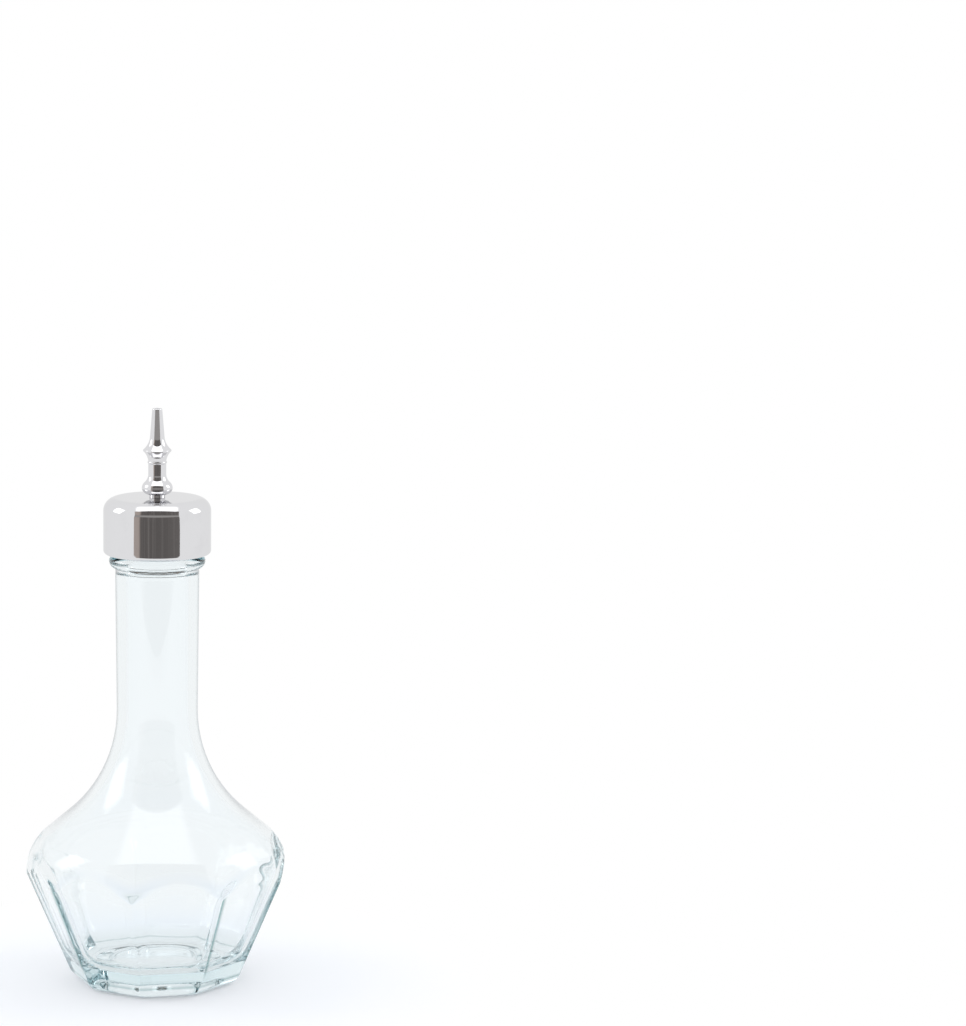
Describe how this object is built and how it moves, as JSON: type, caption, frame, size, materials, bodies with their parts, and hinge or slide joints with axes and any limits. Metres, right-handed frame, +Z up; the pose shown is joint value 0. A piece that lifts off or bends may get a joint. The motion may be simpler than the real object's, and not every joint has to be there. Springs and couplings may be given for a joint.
{
  "type": "dasher bottle",
  "caption": "Small clear glass bar bottle with a faceted body, round shoulder and long neck, closed by a polished metal cap with a slim turned spout on a bored cork, for dashing bitters.",
  "frame": {"origin": "centre of the foot, on the surface that the bottle stands on", "axes": "+Z up the bottle's axis to the tip of the spout; +X square to one facet; -Y towards the viewer of the picture"},
  "size_m": [0.0681, 0.0682, 0.1518],
  "materials": {
    "clear_glass": "clear moulded glass, faintly aqua where thick",
    "polished_metal": "mirror polish",
    "gasket_rubber": "soft, pale",
    "cork": "natural cork grain",
    "stem_steel": "turned"
  },
  "bodies": {
    "bottle": {"glass_bottle": "clear_glass"},
    "seal_ring": {"cap_gasket": "gasket_rubber"},
    "dasher_top": {"cap_shell": "polished_metal", "spout": "polished_metal", "stopper_cork": "cork", "stem_tube": "stem_steel", "clamp_washer": "stem_steel", "stem_nut": "stem_steel"}
  },
  "joints": [
    {"name": "stopper_lift", "type": "slide", "parent": "bottle", "child": "seal_ring", "axis": [0, 0, 1], "range_m": [0, 0.03]},
    {"name": "top_twist", "type": "hinge", "parent": "seal_ring", "child": "dasher_top", "pos_m": [0, 0, 0.1266], "axis": [0, 0, 1], "continuous": true}
  ]
}
